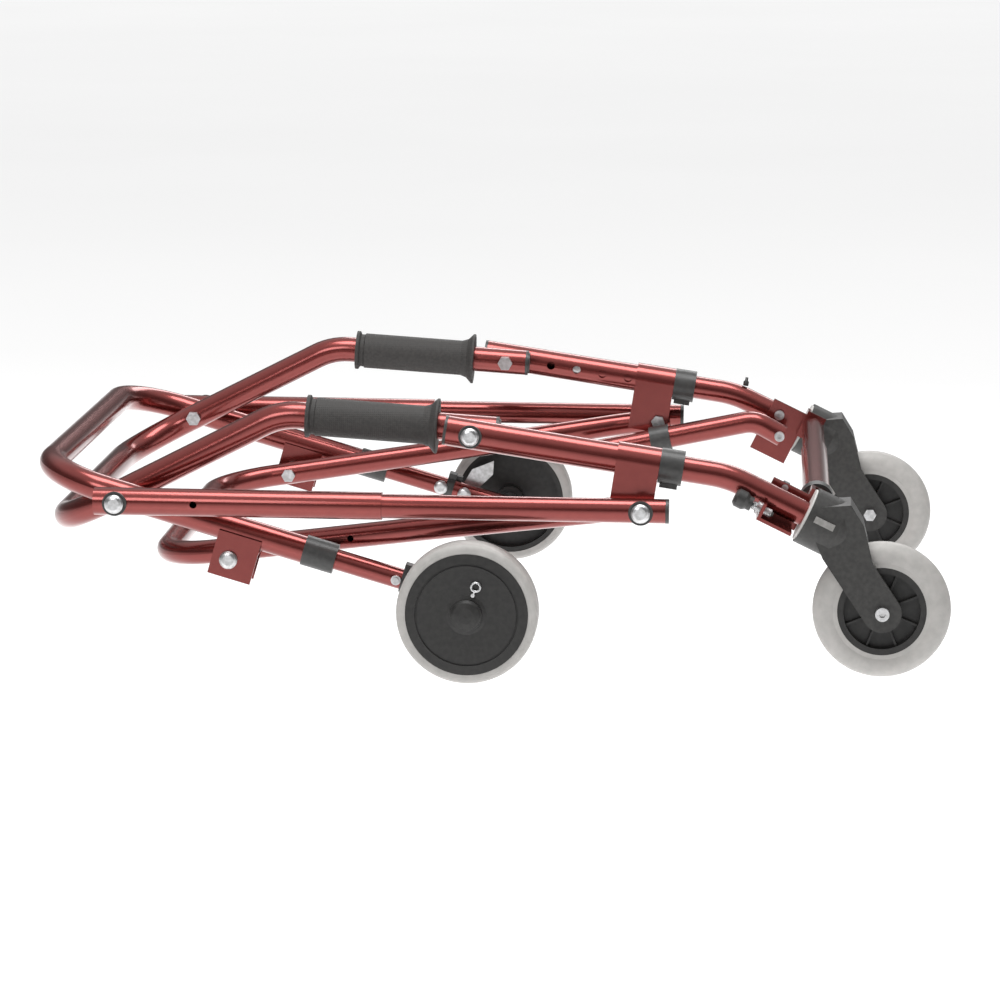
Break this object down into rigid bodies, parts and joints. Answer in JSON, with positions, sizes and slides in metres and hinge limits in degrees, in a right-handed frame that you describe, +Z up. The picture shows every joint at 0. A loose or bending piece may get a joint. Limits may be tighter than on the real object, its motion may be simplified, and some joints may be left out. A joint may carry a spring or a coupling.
{
  "type": "rollator walker",
  "caption": "Folded posterior walking frame: bent lacquered tubes, foam grips, telescoping legs, swivel casters in front and fixed wheels behind.",
  "frame": {"origin": "on the floor, below the centre of the bounding box", "axes": "+X from the rear cross tubes towards the casters, +Y to the user's left, +Z up, standing folded on its four wheels"},
  "size_m": [0.836, 0.6242, 0.2464],
  "materials": {
    "lacquer": "metallic lacquer, glossy",
    "grip": "moulded foam, matt, fine ribs",
    "tyre": "light grey solid tyre, satin",
    "hub": "moulded, satin",
    "fork": "moulded, fine grain",
    "cap": "moulded, satin",
    "moulding": "moulded, satin",
    "steel": "zinc plated, satin"
  },
  "bodies": {
    "frame": {"handle_hoop": "lacquer", "grip_right": "grip", "grip_left": "grip", "handle_plugs": "moulding", "pivot_bolts": "steel", "pivot_washers": "moulding"},
    "front_legs": {"front_leg_right": "lacquer", "front_leg_left": "lacquer", "saddle_right": "lacquer", "saddle_left": "lacquer", "saddle_nuts": "steel", "front_collars": "moulding", "leg_plugs": "moulding"},
    "front_lower": {"front_extension_right": "lacquer", "front_extension_left": "lacquer", "bracket_right": "lacquer", "bracket_left": "lacquer", "bracket_bolts": "steel", "caster_caps": "cap", "cross_sleeve": "lacquer", "cross_tube": "lacquer", "tube_bands": "moulding", "stay_tube": "lacquer", "plunger_barrel": "steel"},
    "knob": {"plunger_knob": "moulding"},
    "rear_hoop": {"rear_leg_hoop": "lacquer", "link_brackets": "lacquer", "link_bolts": "steel", "link_spacers": "moulding", "rear_collars": "moulding"},
    "lower_frame": {"lower_hoop": "lacquer"},
    "button_right": {"snap_button_right": "steel"},
    "caster_right": {"caster_fork_right": "fork", "caster_axle_right": "steel"},
    "caster_wheel_right": {"caster_tyre_right": "tyre", "caster_hub_right": "hub"},
    "rear_leg_right": {"rear_extension_right": "lacquer", "rear_clip_right": "moulding", "rear_hardware_right": "steel"},
    "rear_wheel_right": {"rear_tyre_right": "tyre", "rear_hub_right": "hub"},
    "pin_right": {"ratchet_pin_right": "steel"},
    "sleeve_right": {"side_sleeve_right": "lacquer"},
    "rail_right": {"side_rail_right": "lacquer", "rail_trim_right": "moulding"},
    "button_left": {"snap_button_left": "steel"},
    "caster_left": {"caster_fork_left": "fork", "caster_axle_left": "steel"},
    "caster_wheel_left": {"caster_tyre_left": "tyre", "caster_hub_left": "hub"},
    "rear_leg_left": {"rear_extension_left": "lacquer", "rear_clip_left": "moulding", "rear_hardware_left": "steel"},
    "rear_wheel_left": {"rear_tyre_left": "tyre", "rear_hub_left": "hub"},
    "pin_left": {"ratchet_pin_left": "steel"},
    "sleeve_left": {"side_sleeve_left": "lacquer"},
    "rail_left": {"side_rail_left": "lacquer", "rail_trim_left": "moulding"}
  },
  "joints": [
    {"name": "front_fold", "type": "hinge", "parent": "frame", "child": "front_legs", "pos_m": [-0.014, 0, 0.217], "axis": [0, 1, 0], "range_deg": [0, 64]},
    {"name": "front_height", "type": "slide", "parent": "front_legs", "child": "front_lower", "axis": [0.9885, 0, -0.1513], "range_m": [-0.0265, 0.053]},
    {"name": "plunger_pull", "type": "slide", "parent": "front_lower", "child": "knob", "axis": [-0.8988, 0, 0.4384], "range_m": [0, 0.008], "stiffness_N_per_m": 600},
    {"name": "rear_fold", "type": "hinge", "parent": "frame", "child": "rear_hoop", "pos_m": [-0.332, 0, 0.157], "axis": [0, 1, 0], "range_deg": [0, 86]},
    {"name": "lower_fold", "type": "hinge", "parent": "rear_hoop", "child": "lower_frame", "pos_m": [-0.234, 0, 0.101], "axis": [0, 1, 0], "range_deg": [-77.3, 0]},
    {"name": "button_press_right", "type": "slide", "parent": "front_lower", "child": "button_right", "axis": [0, -1, 0], "range_m": [0, 0.003], "stiffness_N_per_m": 400},
    {"name": "caster_swivel_right", "type": "hinge", "parent": "front_lower", "child": "caster_right", "pos_m": [0.2872, -0.245, 0.1475], "axis": [0.8988, 0, -0.4384], "continuous": true},
    {"name": "caster_spin_right", "type": "hinge", "parent": "caster_right", "child": "caster_wheel_right", "pos_m": [0.356, -0.245, 0.062], "axis": [0, 1, 0], "continuous": true},
    {"name": "rear_height_right", "type": "slide", "parent": "rear_hoop", "child": "rear_leg_right", "axis": [0.9594, 0, -0.2821], "range_m": [-0.0265, 0.053]},
    {"name": "rear_spin_right", "type": "hinge", "parent": "rear_leg_right", "child": "rear_wheel_right", "pos_m": [-0.014, -0.289, 0.0635], "axis": [0, 1, 0], "continuous": true},
    {"name": "pin_pull_right", "type": "slide", "parent": "rear_wheel_right", "child": "pin_right", "axis": [0, -1, 0], "range_m": [0, 0.006], "stiffness_N_per_m": 400},
    {"name": "sleeve_fold_right", "type": "hinge", "parent": "frame", "child": "sleeve_right", "pos_m": [-0.332, -0.273, 0.157], "axis": [0, 1, 0], "range_deg": [0, 17.6]},
    {"name": "rail_slide_right", "type": "slide", "parent": "sleeve_right", "child": "rail_right", "axis": [-1, 0, 0.0064], "range_m": [0, 0.127]},
    {"name": "button_press_left", "type": "slide", "parent": "front_lower", "child": "button_left", "axis": [0, 1, 0], "range_m": [0, 0.003], "stiffness_N_per_m": 400},
    {"name": "caster_swivel_left", "type": "hinge", "parent": "front_lower", "child": "caster_left", "pos_m": [0.2872, 0.245, 0.1475], "axis": [0.8988, 0, -0.4384], "continuous": true},
    {"name": "caster_spin_left", "type": "hinge", "parent": "caster_left", "child": "caster_wheel_left", "pos_m": [0.356, 0.245, 0.062], "axis": [0, 1, 0], "continuous": true},
    {"name": "rear_height_left", "type": "slide", "parent": "rear_hoop", "child": "rear_leg_left", "axis": [0.9594, 0, -0.2821], "range_m": [-0.0265, 0.053]},
    {"name": "rear_spin_left", "type": "hinge", "parent": "rear_leg_left", "child": "rear_wheel_left", "pos_m": [-0.014, 0.289, 0.0635], "axis": [0, 1, 0], "continuous": true},
    {"name": "pin_pull_left", "type": "slide", "parent": "rear_wheel_left", "child": "pin_left", "axis": [0, 1, 0], "range_m": [0, 0.006], "stiffness_N_per_m": 400},
    {"name": "sleeve_fold_left", "type": "hinge", "parent": "frame", "child": "sleeve_left", "pos_m": [-0.332, 0.273, 0.157], "axis": [0, 1, 0], "range_deg": [0, 17.6]},
    {"name": "rail_slide_left", "type": "slide", "parent": "sleeve_left", "child": "rail_left", "axis": [-1, 0, 0.0064], "range_m": [0, 0.127]}
  ],
  "couplings": [
    {"joint": "rear_fold", "follows": "front_fold", "ratio": 1.342},
    {"joint": "lower_fold", "follows": "front_fold", "ratio": -1.2058},
    {"joint": "sleeve_fold_right", "follows": "front_fold", "ratio": 0.27352},
    {"joint": "rail_slide_right", "follows": "front_fold", "m_per_rad": 0.11321},
    {"joint": "sleeve_fold_left", "follows": "front_fold", "ratio": 0.27352},
    {"joint": "rail_slide_left", "follows": "front_fold", "m_per_rad": 0.11321}
  ]
}
